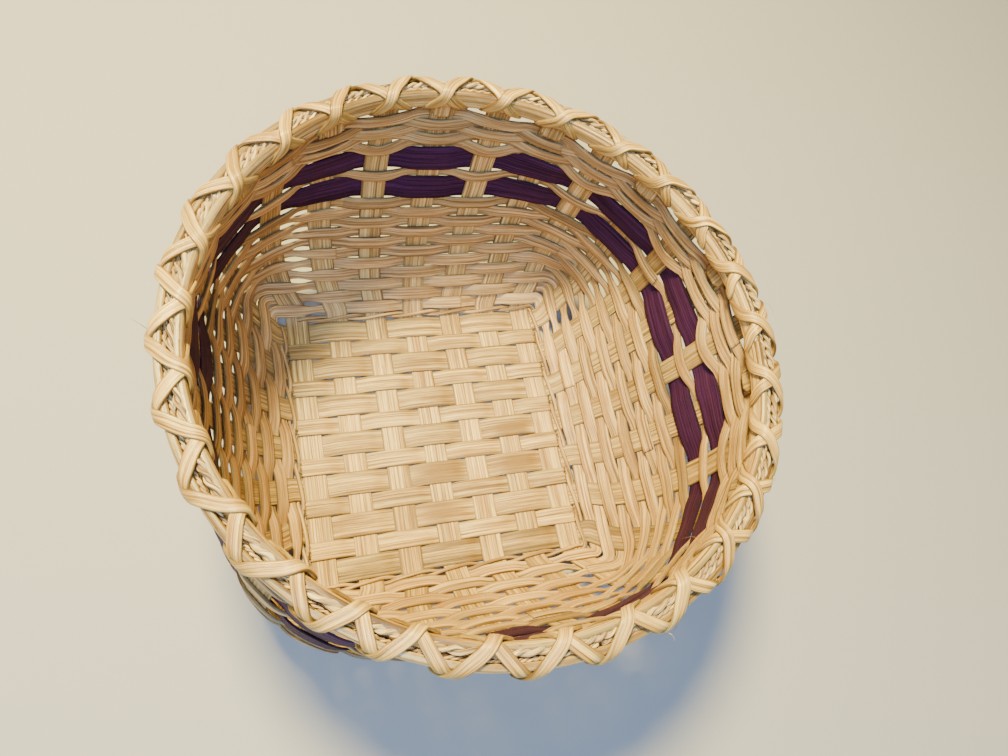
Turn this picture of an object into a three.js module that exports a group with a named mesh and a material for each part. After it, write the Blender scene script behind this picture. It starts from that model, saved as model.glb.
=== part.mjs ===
// Plaited flat-reed basket: square woven base, 28 upright stakes, rows of weavers,
// two dyed bands, twined base edge and a lashed double rim over two cords.
// Millimetres, +Z up, origin at the centre of the underside.

import * as THREE from 'three';
import { mergeVertices } from 'three/addons/utils/BufferGeometryUtils.js';

// Driving dimensions: reed
const stakeWidth = 12.7;
const stakeThickness = 1.0;
const fillerWidth = 9.5;
const weaverWidth = 6.0;
const weaverThickness = 1.4;
const bandWidth = 14.8;
const bandThickness = 1.0;
const upperWeaverWidth = 4.0;
const twineDiameter = 1.7;

// Driving dimensions: clearances between touching pieces
const gap = 0.35;
const rowGap = 0.55;
const widthSlack = 0.015;
const twineGap = 0.4;

// Driving dimensions: counts
const stakesPerSide = 7;
const lowerRows = 11;
const upperRows = 5;
const rowLapStride = 5;
const hoopLapHalves = 3;

// Driving dimensions: stakes at which the laps of the rim pieces lie
const innerHoopLap = 9;
const outerHoopLap = 23;
const innerCordButt = 5;
const outerCordButt = 16;

// Driving dimensions: wall shape
const foldMargin = 0.7;
const twineRise = 2.9;
const twineMargin = 2.35;
const flareAtBase = THREE.MathUtils.degToRad(57.5);
const flareAtRim = THREE.MathUtils.degToRad(8.5);
const flareReach = 0.3;
const flarePower = 1.5;
const foldRadius = 3.0;
const roundingPower = 0.8;
const leanRight = 3.6;
const leanAway = 1.2;
const fanAtBase = 0.6;

// Driving dimensions: rim
const rimRowWidth = 4.6;
const rimHeight = 9.5;
const rimThickness = 2.4;
const rimSlack = 0.2;
const cordDiameter = 3.0;
const cordGap = 0.2;
const lashWidth = 5.6;
const lashThickness = 0.9;
const slotSpare = 2.5;
const tailDrop = 13.0;
const tailTipLength = 3.0;
const tailTipShare = 0.55;

// Derived: the base grid
const stakeCount = 4 * stakesPerSide;
const middle = (stakesPerSide + 1) / 2;
const basePitch = stakeWidth + fillerWidth + 2 * gap;
const baseHalf = (stakesPerSide - 1) / 2 * basePitch + stakeWidth / 2;
const layerStep = stakeThickness + gap;
const underLevel = stakeThickness / 2;
const flatLevel = underLevel + layerStep;
const overLevel = flatLevel + layerStep;
const wallStart = baseHalf + foldMargin;

// Derived: heights of the courses, measured along the middle of a side wall
const twineBand = twineRise + twineDiameter + twineGap + twineMargin;
const rowPitch = weaverWidth + rowGap;
const bandPitch = bandWidth + rowGap;
const upperPitch = upperWeaverWidth + rowGap;
const lashSlot = 2 * lashThickness + 5 * gap + slotSpare;
const courses = [];
let level = twineBand;
for (let i = 0; i < lowerRows; i += 1) {
  courses.push({ name: `lower_weaver_${String(i + 1).padStart(2, '0')}`, at: level + rowPitch / 2,
    width: weaverWidth, thickness: weaverThickness, paint: 'reed' });
  level += rowPitch;
}
courses.push({ name: 'dyed_band_lower', at: level + bandPitch / 2,
  width: bandWidth, thickness: bandThickness, paint: 'dyed' });
level += bandPitch;
courses.push({ name: 'spacer_weaver', at: level + rowPitch / 2,
  width: weaverWidth, thickness: weaverThickness, paint: 'reed' });
level += rowPitch;
courses.push({ name: 'dyed_band_upper', at: level + bandPitch / 2,
  width: bandWidth, thickness: bandThickness, paint: 'dyed' });
level += bandPitch;
for (let i = 0; i < upperRows; i += 1) {
  courses.push({ name: `upper_weaver_${i + 1}`, at: level + upperPitch / 2,
    width: upperWeaverWidth, thickness: weaverThickness, paint: 'reed' });
  level += upperPitch;
}
const slotBottom = level - rowGap / 2;
const rimRowBottom = slotBottom + lashSlot;
const wallTop = rimRowBottom + rimRowWidth;
courses.push({ name: 'rim_row_weaver', at: rimRowBottom + rimRowWidth / 2,
  width: rimRowWidth, thickness: weaverThickness, paint: 'reed', scarfed: true });

// The wall's profile: the flare angle falls from the base edge to the rim, and
// summing its sine and cosine gives the distance out and the height.
const profileSteps = 600;
const profileReach = wallTop * 1.1;
const profile = [{ out: wallStart, up: flatLevel }];
for (let i = 1; i <= profileSteps; i += 1) {
  const share = (i - 0.5) / profileSteps * profileReach / wallTop;
  const falloff = Math.exp(-((share / flareReach) ** flarePower));
  const flare = flareAtRim + (flareAtBase - flareAtRim) * falloff;
  const step = profileReach / profileSteps;
  const last = profile[i - 1];
  profile.push({ out: last.out + Math.sin(flare) * step, up: last.up + Math.cos(flare) * step });
}

// Level section of the wall: a square with corners that grow round until the
// section is a circle at the rim. Returns its sizes at a course height.
function sectionAt(height) {
  const place = THREE.MathUtils.clamp(height / profileReach, 0, 1) * profileSteps;
  const index = Math.min(Math.floor(place), profileSteps - 1);
  const part = place - index;
  const out = THREE.MathUtils.lerp(profile[index].out, profile[index + 1].out, part);
  const up = THREE.MathUtils.lerp(profile[index].up, profile[index + 1].up, part);
  const share = THREE.MathUtils.clamp(height / slotBottom, 0, 1);
  const round = foldRadius + (out - foldRadius) * share ** roundingPower;
  const flat = out - round;
  const quarter = 2 * flat + Math.PI / 2 * round;
  const even = quarter / stakesPerSide;
  const fan = fanAtBase + (1 - fanAtBase) * share;
  const spacing = basePitch + Math.max(0, even - basePitch) * fan;
  return { out, up, round, flat, quarter, spacing };
}

// Distance round the section of a place counted in stakes: 0 to 6 are on the
// far side, 7 to 13 on the right, then near and left.
function arcOfStake(index, section) {
  const turn = Math.floor(index / stakeCount);
  const local = index - turn * stakeCount;
  const side = Math.floor(local / stakesPerSide);
  const step = local % stakesPerSide - (middle - 1);
  return (turn * 4 + side) * section.quarter + step * section.spacing;
}

function wallPoint(place, height) {
  const section = sectionAt(height);
  const index = Math.floor(place);
  const before = arcOfStake(index, section);
  const arc = before + (arcOfStake(index + 1, section) - before) * (place - index);
  const side = Math.round(arc / section.quarter);
  const along = arc - side * section.quarter;
  const past = Math.abs(along) - section.flat;
  let across = along;
  let out = section.out;
  if (past > 0) {
    const turn = past / section.round;
    across = Math.sign(along) * (section.flat + section.round * Math.sin(turn));
    out = section.flat + section.round * Math.cos(turn);
  }
  const outward = new THREE.Vector3(Math.sin(side * Math.PI / 2), Math.cos(side * Math.PI / 2), 0);
  const sideways = new THREE.Vector3(outward.y, -outward.x, 0);
  const share = height / wallTop;
  const lean = new THREE.Vector3(leanRight * share, leanAway * share, section.up);
  return outward.multiplyScalar(out).addScaledVector(sideways, across).add(lean);
}

// Position and directions of the wall at a place: up along the wall, sideways
// round it, and out through it.
function wallFrame(place, height) {
  const reach = 0.05;
  const below = wallPoint(place, height - reach);
  const above = wallPoint(place, height + reach);
  const before = wallPoint(place - reach, height);
  const after = wallPoint(place + reach, height);
  const up = above.sub(below).normalize();
  const side = after.sub(before);
  side.addScaledVector(up, -side.dot(up)).normalize();
  const out = new THREE.Vector3().crossVectors(up, side);
  return { point: wallPoint(place, height), up, side, out };
}

function offWall(frame, along, out) {
  return frame.point.clone().addScaledVector(frame.side, along).addScaledVector(frame.out, out);
}

// Cross-sections, as shares of half the width and half the thickness
const flatSection = [[1, 1], [-1, 1], [-1, -1], [1, -1]];
const domedSection = [[0.6, 1], [-0.6, 1], [-1, -1], [1, -1]];
function roundSection(sides) {
  const points = [];
  for (let i = 0; i < sides; i += 1) {
    const angle = 2 * Math.PI * i / sides;
    points.push([Math.cos(angle), Math.sin(angle)]);
  }
  return points;
}

// A strip carried along a path. Each station has its point, the direction of
// its width, and half its width and thickness; bends are mitred.
function ribbon(stations, section) {
  const count = stations.length;
  const corners = section.length;
  const positions = [];
  for (let i = 0; i < count; i += 1) {
    const here = stations[i];
    const backward = stations[Math.max(i - 1, 0)].point;
    const forward = stations[Math.min(i + 1, count - 1)].point;
    const arriving = here.point.clone().sub(backward).normalize();
    const leaving = forward.clone().sub(here.point).normalize();
    const heading = arriving.clone().add(leaving).normalize();
    const miter = Math.max(heading.dot(arriving), heading.dot(leaving), 0.6);
    const thick = new THREE.Vector3().crossVectors(heading, here.wide).normalize();
    for (const [a, b] of section) {
      const corner = here.point.clone().addScaledVector(here.wide, a * here.halfWidth);
      corner.addScaledVector(thick, b * here.halfThickness / miter);
      positions.push(corner.x, corner.y, corner.z);
    }
  }
  const triangles = [];
  for (let i = 0; i < count - 1; i += 1) {
    for (let c = 0; c < corners; c += 1) {
      const a = i * corners + c;
      const b = i * corners + (c + 1) % corners;
      triangles.push(a, b, b + corners, a, b + corners, a + corners);
    }
  }
  for (let c = 1; c < corners - 1; c += 1) {
    const last = (count - 1) * corners;
    triangles.push(0, c + 1, c, last, last + c, last + c + 1);
  }
  return facingOut(positions, triangles);
}

// A closed mesh whose volume comes out negative is turned inside out.
function facingOut(positions, triangles) {
  let volume = 0;
  const a = new THREE.Vector3();
  const b = new THREE.Vector3();
  const c = new THREE.Vector3();
  for (let i = 0; i < triangles.length; i += 3) {
    a.fromArray(positions, triangles[i] * 3);
    b.fromArray(positions, triangles[i + 1] * 3);
    c.fromArray(positions, triangles[i + 2] * 3);
    volume += a.dot(b.cross(c));
  }
  if (volume < 0) {
    triangles.reverse();
  }
  const geometry = new THREE.BufferGeometry();
  geometry.setAttribute('position', new THREE.Float32BufferAttribute(positions, 3));
  geometry.setIndex(triangles);
  return mergeVertices(geometry, 1e-5);
}

function station(point, wide, width, thickness) {
  return { point, wide, halfWidth: width / 2, halfThickness: thickness / 2 };
}

// Finishes
const paints = {
  reed: new THREE.MeshStandardMaterial({ color: 0xd9b988, roughness: 0.62, metalness: 0 }),
  dyed: new THREE.MeshStandardMaterial({ color: 0x56283a, roughness: 0.6, metalness: 0 }),
  rim: new THREE.MeshStandardMaterial({ color: 0xe6cfa0, roughness: 0.58, metalness: 0 }),
  cord: new THREE.MeshStandardMaterial({ color: 0xd8c3a5, roughness: 0.75, metalness: 0 }),
};
const basket = new THREE.Group();
function add(name, geometry, paint) {
  const mesh = new THREE.Mesh(geometry, paints[paint]);
  mesh.name = name;
  basket.add(mesh);
}

// Stakes: one strip from rim to rim through the base. Every second end is
// folded in over the rim row and hangs inside as a tail with clipped corners.
const wallStop = 3;
const wallTolerance = 0.09;
const rimRow = courses[courses.length - 1];
const tailOut = -(stakeThickness / 2 + gap + rimRow.thickness + gap + rimSlack + stakeThickness / 2);
const foldTop = wallTop + gap + stakeThickness / 2;

function foldsIn(index) {
  return index % 2 === 1;
}

// How far the edges of a straight piece of stake between two heights lie
// in front of or behind the wall.
function strayBetween(index, low, high) {
  const below = wallFrame(index, low);
  const above = wallFrame(index, high);
  let stray = 0;
  for (const share of [0.25, 0.5, 0.75]) {
    const real = wallFrame(index, THREE.MathUtils.lerp(low, high, share));
    for (const edge of [-stakeWidth / 2, stakeWidth / 2]) {
      const chord = offWall(below, edge, 0).lerp(offWall(above, edge, 0), share);
      stray = Math.max(stray, Math.abs(offWall(real, edge, 0).sub(chord).dot(real.out)));
    }
  }
  return stray;
}

// Heights at which a stake bends, each as far from the last as the wall allows
function bendHeights(index, low, high) {
  const heights = [low];
  while (heights[heights.length - 1] < high) {
    const from = heights[heights.length - 1];
    let reach = high - from;
    while (strayBetween(index, from, from + reach) > wallTolerance) {
      reach *= 0.9;
    }
    heights.push(from + reach);
  }
  return heights;
}

function wallStations(index) {
  const stations = [];
  for (const height of bendHeights(index, wallStop, wallTop - 1)) {
    const frame = wallFrame(index, height);
    stations.push(station(frame.point, frame.side, stakeWidth, stakeThickness));
  }
  const top = wallFrame(index, wallTop);
  if (!foldsIn(index)) {
    stations.push(station(top.point, top.side, stakeWidth, stakeThickness));
    return stations;
  }
  const place = (height, out, width) => {
    const point = top.point.clone().addScaledVector(top.up, height - wallTop).addScaledVector(top.out, out);
    stations.push(station(point, top.side, width, stakeThickness));
  };
  const bend = stakeThickness / 2;
  place(foldTop - bend, 0, stakeWidth);
  place(foldTop, -bend, stakeWidth);
  place(foldTop, tailOut + bend, stakeWidth);
  place(foldTop - bend, tailOut, stakeWidth);
  place(wallTop - tailDrop + tailTipLength, tailOut, stakeWidth);
  place(wallTop - tailDrop, tailOut, stakeWidth * tailTipShare);
  return stations;
}

// Ends turned so that the width points the same way all along one stake
function joinedStations(startIndex, baseStations, endIndex, wide) {
  const start = wallStations(startIndex).reverse();
  const end = wallStations(endIndex);
  const all = [...start, ...baseStations, ...end];
  for (const each of all) {
    each.wide = each.wide.clone();
    if (each.wide.dot(wide) < 0) {
      each.wide.negate();
    }
  }
  return all;
}

for (let i = 1; i <= stakesPerSide; i += 1) {
  const x = (i - middle) * basePitch;
  const wide = new THREE.Vector3(1, 0, 0);
  const across = [wallStart, -wallStart].map((y) => station(new THREE.Vector3(x, y, flatLevel),
    wide, stakeWidth, stakeThickness));
  const stations = joinedStations(i - 1, across, 3 * stakesPerSide - i, wide);
  add(`front_back_stake_${i}`, ribbon(stations, flatSection), 'reed');
}

// Path across the base of a side-to-side strip: over or under each
// front-to-back stake in turn, sloping in the gaps between them.
const crossingReach = stakeWidth / 2 + 0.4;
function crossing(y, width, underOdd) {
  const stations = [];
  const wide = new THREE.Vector3(0, 1, 0);
  for (let i = stakesPerSide; i >= 1; i -= 1) {
    const x = (middle - i) * basePitch;
    const under = (i % 2 === 1) === underOdd;
    const z = under ? underLevel : overLevel;
    for (const side of [-crossingReach, crossingReach]) {
      stations.push(station(new THREE.Vector3(x + side, y, z), wide, width, stakeThickness));
    }
  }
  return stations;
}

for (let j = 1; j <= stakesPerSide; j += 1) {
  const y = (middle - j) * basePitch;
  const across = crossing(y, stakeWidth, true);
  const wide = new THREE.Vector3(0, 1, 0);
  const stations = joinedStations(stakeCount - j, across, stakesPerSide - 1 + j, wide);
  add(`side_to_side_stake_${j}`, ribbon(stations, flatSection), 'reed');
}

// Base fillers: short strips between the side-to-side stakes, their ends
// folded down round the outermost stakes and tucked back underneath.
const tuckEnd = baseHalf - stakeWidth + 1.0;
for (let j = 1; j < stakesPerSide; j += 1) {
  const y = (middle - j - 0.5) * basePitch;
  const wide = new THREE.Vector3(0, 1, 0);
  const across = crossing(y, fillerWidth, false).slice(1, -1);
  const foldOut = baseHalf + gap + stakeThickness / 2;
  const bend = 0.6;
  const tuck = [[baseHalf, overLevel], [foldOut, overLevel - bend], [foldOut, underLevel + bend],
    [baseHalf, underLevel], [tuckEnd, underLevel]];
  const right = tuck.map(([x, z]) => station(new THREE.Vector3(x, y, z), wide, fillerWidth, stakeThickness));
  const left = tuck.map(([x, z]) => station(new THREE.Vector3(-x, y, z), wide, fillerWidth, stakeThickness));
  add(`base_filler_${j}`, ribbon([...left.reverse(), ...across, ...right], flatSection), 'reed');
}

// Rows of weavers: in front of one stake and behind the next. Each row is one
// strip whose two ends lap behind a stake, and the laps climb round the wall.
courses.forEach((course, row) => {
  const sit = stakeThickness / 2 + gap + widthSlack * course.width + course.thickness / 2;
  const passesInside = (index) => (index + row) % 2 === 0;
  const first = (row * rowLapStride + 3) % stakeCount;
  const start = passesInside(first) ? first + 1 : first;
  const half = course.thickness / 2;
  const thin = (half - gap / 2) * 0.9;
  const stations = [];
  for (let step = 0; step <= stakeCount; step += 1) {
    const frame = wallFrame((start + step) % stakeCount, course.at);
    const lapped = step === 0 || step === stakeCount;
    let out = passesInside(start + step) ? -sit : sit;
    let thickness = course.thickness;
    if (lapped && course.scarfed) {
      thickness = thin;
      out = sit + (step === 0 ? -1 : 1) * (half - thin / 2);
    } else if (step === stakeCount) {
      out += course.thickness + gap;
    }
    for (const side of [-crossingReach, crossingReach]) {
      stations.push(station(offWall(frame, side, out), frame.up, course.width, thickness));
    }
  }
  add(course.name, ribbon(stations, flatSection), course.paint);
});

// Twining at the base edge: two round strands on opposite sides of each stake
// that swap in every gap, always turning the same way.
const twineSit = stakeThickness / 2 + gap + twineDiameter / 2;
const twineSwap = (twineDiameter + twineGap) / 2;
function twineStations(startsOutside) {
  const stations = [];
  for (let index = 0; index < stakeCount; index += 1) {
    const frame = wallFrame(index, twineRise);
    const outside = (index % 2 === 0) === startsOutside;
    const out = outside ? twineSit : -twineSit;
    for (const side of [-crossingReach, crossingReach]) {
      stations.push(station(offWall(frame, side, out), frame.up, twineDiameter, twineDiameter));
    }
    if (index < stakeCount - 1) {
      const next = wallFrame(index + 1, twineRise);
      const up = frame.up.clone().add(next.up).normalize();
      const between = offWall(frame, crossingReach, 0).lerp(offWall(next, -crossingReach, 0), 0.5);
      between.addScaledVector(up, outside ? -twineSwap : twineSwap);
      stations.push(station(between, up, twineDiameter, twineDiameter));
    }
  }
  return stations;
}
add('twining_strand_1', ribbon(twineStations(true), roundSection(4)), 'reed');
add('twining_strand_2', ribbon(twineStations(false), roundSection(4)), 'reed');

// Rim hoops: flat-oval bands inside and outside the wall, scarfed where
// their ends lap. The rim circle is the wall's section at the rim row.
const innerFace = tailOut - stakeThickness / 2 - gap;
const outerFace = stakeThickness / 2 + gap + rimRow.thickness + gap + rimSlack;
const hoopBottom = rimRowBottom - gap / 2;
const hoopMiddle = hoopBottom + rimHeight / 2;
function rimPoint(place, height, out) {
  const frame = wallFrame(place, wallTop);
  const point = frame.point.clone().addScaledVector(frame.up, height - wallTop);
  return { frame, point: point.addScaledVector(frame.out, out) };
}

function hoop(face, direction, lapPlace) {
  const stations = [];
  const steps = 2 * stakeCount;
  const full = rimThickness;
  for (let i = 0; i <= steps + hoopLapHalves; i += 1) {
    const entering = THREE.MathUtils.clamp(i / hoopLapHalves, 0, 1);
    const ending = THREE.MathUtils.clamp((i - steps) / hoopLapHalves, 0, 1);
    const thin = (full - gap) * 0.12;
    let thickness = full;
    let depth = full / 2;
    if (i <= hoopLapHalves) {
      thickness = THREE.MathUtils.lerp(thin, full - gap - thin, entering);
      depth = thickness / 2;
    }
    if (i >= steps) {
      thickness = THREE.MathUtils.lerp(full - gap - thin, thin, ending);
      depth = full - thickness / 2;
    }
    const { frame, point } = rimPoint(lapPlace + i / 2, hoopMiddle, face + direction * depth);
    stations.push(station(point, frame.up.clone().multiplyScalar(-direction), rimHeight, thickness));
  }
  return stations;
}
add('inner_rim', ribbon(hoop(innerFace, -1, innerHoopLap), domedSection), 'rim');
add('outer_rim', ribbon(hoop(outerFace, 1, outerHoopLap), domedSection), 'rim');

// Two cords lie in the groove between the hoops, on the folded stake ends.
const cordLevel = foldTop + stakeThickness / 2 + gap + cordDiameter / 2;
function cord(out, buttStake) {
  const stations = [];
  const steps = 2 * stakeCount;
  const open = 0.04;
  for (let i = 0; i <= steps; i += 1) {
    const place = buttStake + 0.5 + open / 2 + (stakeCount - open) * i / steps;
    const { frame, point } = rimPoint(place, cordLevel, out);
    stations.push(station(point, frame.up, cordDiameter, cordDiameter));
  }
  return stations;
}
const groove = (innerFace + outerFace) / 2;
const cordOut = (cordDiameter + cordGap) / 2;
add('rim_cord_inner', ribbon(cord(groove - cordOut, innerCordButt), roundSection(5)), 'cord');
add('rim_cord_outer', ribbon(cord(groove + cordOut, outerCordButt), roundSection(5)), 'cord');

// Cross lashing: each strip winds round the rim from gap to gap, in beside a
// stake through the slot under the rim row, up the inner hoop, slanting over the
// cords and down the outer hoop. The second strip winds the other way, beneath
// the first, and they cross inside at every stake and outside between stakes.
const lashSit = gap + lashThickness / 2;
const lashHole = 0.35;
function lashing(layer, direction) {
  const lift = lashSit + layer * (lashThickness + gap);
  const inner = innerFace - rimThickness - lift;
  const outer = outerFace + rimThickness + lift;
  const top = Math.max(cordLevel + cordDiameter / 2, hoopBottom + rimHeight) + lift;
  const bottom = hoopBottom - lift;
  const turn = [[inner, bottom, 0], [inner, top, 0.36], [outer, top, 0.8], [outer, bottom, 1]];
  const stations = [];
  for (let cell = 0; cell < stakeCount; cell += 1) {
    for (const [out, height, advance] of turn) {
      const place = (cell + advance - lashHole) * direction;
      const wrapped = (place + stakeCount) % stakeCount;
      const { point, frame } = rimPoint(wrapped, height, out);
      stations.push({ point, frame });
    }
  }
  const ends = stations.length - 1;
  return stations.map(({ point, frame }, i) => {
    const arriving = point.clone().sub(stations[Math.max(i - 1, 0)].point).normalize();
    const leaving = stations[Math.min(i + 1, ends)].point.clone().sub(point).normalize();
    const lengthwise = arriving.add(leaving).normalize().dot(frame.side);
    const slant = Math.sqrt(1 - lengthwise ** 2);
    return station(point, frame.side, lashWidth / slant, lashThickness);
  });
}

// Least gap between neighbouring turns of one lashing strip
function leastSelfGap(stations, perTurn) {
  let least = Infinity;
  for (let i = 0; i < stations.length; i += 1) {
    for (let j = i + perTurn - 1; j < Math.min(i + 2 * perTurn, stations.length); j += 1) {
      least = Math.min(least, stations[i].point.distanceTo(stations[j].point));
    }
  }
  return least - lashWidth;
}
const lashForward = lashing(1, 1);
const lashBackward = lashing(0, -1);
add('rim_lashing_1', ribbon(lashForward, flatSection), 'rim');
add('rim_lashing_2', ribbon(lashBackward, flatSection), 'rim');
for (const strip of [lashForward, lashBackward]) {
  console.log('least gap between turns of a lashing strip, mm:', leastSelfGap(strip, 4).toFixed(2));
}

// The origin goes to the centre of the footprint, on the underside.
const box = new THREE.Box3().setFromObject(basket);
const centre = box.getCenter(new THREE.Vector3());
for (const mesh of basket.children) {
  mesh.geometry.translate(-centre.x, -centre.y, -box.min.z);
}

export default basket;
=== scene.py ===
import bpy
import numpy as np
from mathutils import Matrix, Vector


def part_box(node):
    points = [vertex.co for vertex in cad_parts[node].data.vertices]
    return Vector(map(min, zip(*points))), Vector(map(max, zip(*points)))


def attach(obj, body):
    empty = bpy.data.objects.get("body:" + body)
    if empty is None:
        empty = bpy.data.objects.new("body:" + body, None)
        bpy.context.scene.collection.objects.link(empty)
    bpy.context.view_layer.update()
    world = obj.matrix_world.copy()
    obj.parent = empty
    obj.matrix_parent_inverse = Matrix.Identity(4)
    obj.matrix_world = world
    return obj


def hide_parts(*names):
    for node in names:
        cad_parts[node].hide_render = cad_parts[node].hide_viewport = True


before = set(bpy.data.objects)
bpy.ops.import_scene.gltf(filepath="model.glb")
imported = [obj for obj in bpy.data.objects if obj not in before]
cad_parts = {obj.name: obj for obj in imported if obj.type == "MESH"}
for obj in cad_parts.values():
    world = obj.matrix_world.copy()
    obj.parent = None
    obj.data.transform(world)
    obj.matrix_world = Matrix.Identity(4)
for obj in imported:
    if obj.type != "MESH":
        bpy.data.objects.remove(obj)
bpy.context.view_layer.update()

# sizes are millimetres and angles degrees until a mesh is made; the base centre is read from the frame
mm = 0.001
dice = np.random.default_rng(41)
fillerBoxes = np.array([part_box("base_filler_1"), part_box("base_filler_6")]) / mm
baseCentre = np.append(fillerBoxes.mean((0, 1))[:2], 0.0)

# shape of the wall
wall = {
    "stakesPerSide": 7,
    "pitch": 22.9,  # stake spacing in the base
    "start": 75.75,  # where the base bends up, from the base centre
    "level": 1.85,  # middle of the base's thickness
    "top": 149.78,  # length of the wall from the bend to the top of the rim row
    "slot": 139.13,  # length up to the slot the lashing goes through
    "flareAtBase": 57.5,  # from the vertical
    "flareAtRim": 8.5,
    "flareReach": 0.3,
    "flarePower": 1.5,
    "foldRadius": 3.0,
    "roundingPower": 0.8,
    "cornerReach": 0.22,  # share of the wall up which the base's sharp corners last
    "cornerPower": 3,
    "fanAtBase": (0.85, 0.95, 0.95, 0.95),  # far, right, near and left side
    "lean": (3.6, 1.2),  # the rim stands off the middle of the base
    "profileReach": 1.1,  # the profile runs on past the top
    "profileStations": 1200,
}
stakeCount = 4 * wall["stakesPerSide"]

# the profile: flare angle from the vertical falls off along the wall, summed into out and up
profileLength = np.linspace(0.0, wall["top"] * wall["profileReach"], wall["profileStations"])
fallOff = np.exp(-(profileLength / wall["top"] / wall["flareReach"]) ** wall["flarePower"])
profileFlare = np.radians(wall["flareAtRim"] + (wall["flareAtBase"] - wall["flareAtRim"]) * fallOff)
profileStep = np.diff(profileLength, prepend=0.0)
profileOut = wall["start"] + np.cumsum(np.sin(profileFlare) * profileStep)
profileUp = wall["level"] + np.cumsum(np.cos(profileFlare) * profileStep)


def wallPoint(place, length):
    # place counts stakes clockwise from the far left one, length runs up the wall; a level section is a
    # square with round corners whose radius grows until it is a circle, and the stakes spread as it widens
    place, length = np.broadcast_arrays(np.asarray(place, float), np.asarray(length, float))
    out = np.interp(length, profileLength, profileOut)
    up = np.interp(length, profileLength, profileUp)
    share = np.clip(length / wall["slot"], 0, 1)
    opened = 1 - np.exp(-(share / wall["cornerReach"]) ** wall["cornerPower"])
    rounding = wall["foldRadius"] + (out - wall["foldRadius"]) * opened * share ** wall["roundingPower"]
    flat = out - rounding
    quarter = 2 * flat + np.pi / 2 * rounding
    spread = np.maximum(0, quarter / wall["stakesPerSide"] - wall["pitch"])
    before = np.floor(place)
    arcs = []
    for stakePlace in (before, before + 1):
        side = np.floor(stakePlace / wall["stakesPerSide"])
        step = stakePlace - side * wall["stakesPerSide"] - (wall["stakesPerSide"] - 1) / 2
        fan = np.take(wall["fanAtBase"], side.astype(int) % 4)
        arcs.append(side * quarter + step * (wall["pitch"] + spread * (fan + (1 - fan) * share)))
    arc = arcs[0] + (arcs[1] - arcs[0]) * (place - before)
    side = np.round(arc / quarter)
    along = arc - side * quarter
    turn = np.maximum(np.abs(along) - flat, 0) / rounding
    across = np.sign(along) * (np.minimum(np.abs(along), flat) + rounding * np.sin(turn))
    away = flat + rounding * np.cos(turn)
    facing = side * np.pi / 2
    x = np.sin(facing) * away + np.cos(facing) * across + wall["lean"][0] * length / wall["top"]
    y = np.cos(facing) * away - np.sin(facing) * across + wall["lean"][1] * length / wall["top"]
    return np.stack([x, y, up], -1)


def unit(vectors):
    # each vector over its own length, which is kept off nought
    return vectors / np.maximum(np.linalg.norm(vectors, axis=-1, keepdims=True), 1e-9)


def wallFrame(place, length):
    # point on the wall with its directions up the wall, round it and out of it:
    # differences across a short reach, the second made square to the first, and their cross product
    reach = 0.08
    up = unit(wallPoint(place, length + reach) - wallPoint(place, length - reach))
    side = wallPoint(place + reach, length) - wallPoint(place - reach, length)
    side = unit(side - up * np.sum(side * up, -1, keepdims=True))
    return wallPoint(place, length), up, side, np.cross(up, side)


# shortest and longest are shares of the period, and quicker is the share by which each sine speeds up
wander = {"sines": 4, "shortest": 0.7, "longest": 1.4, "quicker": 0.6}


def sway(values, period, amount):
    # slow wandering: a few sines of random phase and period added up, each weaker than the last
    total = np.zeros_like(values, dtype=float)
    for octave in range(wander["sines"]):
        phase = dice.uniform(0, 2 * np.pi)
        stretch = dice.uniform(wander["shortest"], wander["longest"])
        turns = values * 2 * np.pi / (period * stretch) * (1 + octave * wander["quicker"])
        total += np.sin(turns + phase) / (1 + octave)
    return total * amount / 2


def smoothed(values, step, spread):
    # rows averaged with a bell-shaped weight along the path; the ends run on straight
    reach = int(np.ceil(3 * spread / step))
    weights = np.exp(-0.5 * (np.arange(-reach, reach + 1) * step / spread) ** 2)
    weights /= weights.sum()
    before = 2 * values[:1] - values[reach:0:-1]
    after = 2 * values[-1:] - values[-2:-reach - 2:-1]
    padded = np.concatenate([before, values, after])
    return np.stack([np.convolve(padded[:, i], weights, "valid") for i in range(values.shape[1])], -1)


def travelled(points):
    # distance along the path up to each point: the steps between points, added up
    return np.append(0, np.cumsum(np.linalg.norm(np.diff(points, axis=0), axis=1)))


def resampled(points, step, *others):
    # points and what goes with them, read off straight lines at even steps along the path
    travel = travelled(points)
    even = np.linspace(0, travel[-1], int(travel[-1] / step))
    spread = []
    for values in (points, *others):
        columns = values.reshape(len(points), -1)
        spread.append(np.stack([np.interp(even, travel, column) for column in columns.T], -1))
    return spread


def reedSection(facePoints=5, cornerPoints=3):
    # round a flat strip, quarter circles at the corners and even points on the two faces:
    # which corner each point belongs to, and its direction from that corner's centre
    rows = []
    for cornerAcross, cornerThick, begin in ((1, 1, 0), (-1, 1, 90), (-1, -1, 180), (1, -1, 270)):
        for angle in np.radians(np.linspace(begin, begin + 90, cornerPoints)):
            rows.append((cornerAcross, cornerThick, np.cos(angle), np.sin(angle)))
        if begin in (0, 180):
            for share in np.linspace(1, -1, facePoints + 2)[1:-1]:
                rows.append((share * cornerAcross, cornerThick, 0.0, cornerThick))
    return np.array(rows)


def roundSection(points=12):
    # evenly round a circle: every point belongs to the middle and points away from it
    angles = np.linspace(0, 2 * np.pi, points, endpoint=False)
    return np.stack([0 * angles, 0 * angles, np.cos(angles), np.sin(angles)], -1)


flatReed = reedSection()
fullyRound = 10.0  # a corner larger than half of any reed's thickness
largestCorner = 0.499  # share of the thickness
longestReed = 4000  # each strip's grain starts somewhere on it, so no two are alike
grainDrift = 0.4  # how far the grain shifts across with depth


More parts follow.
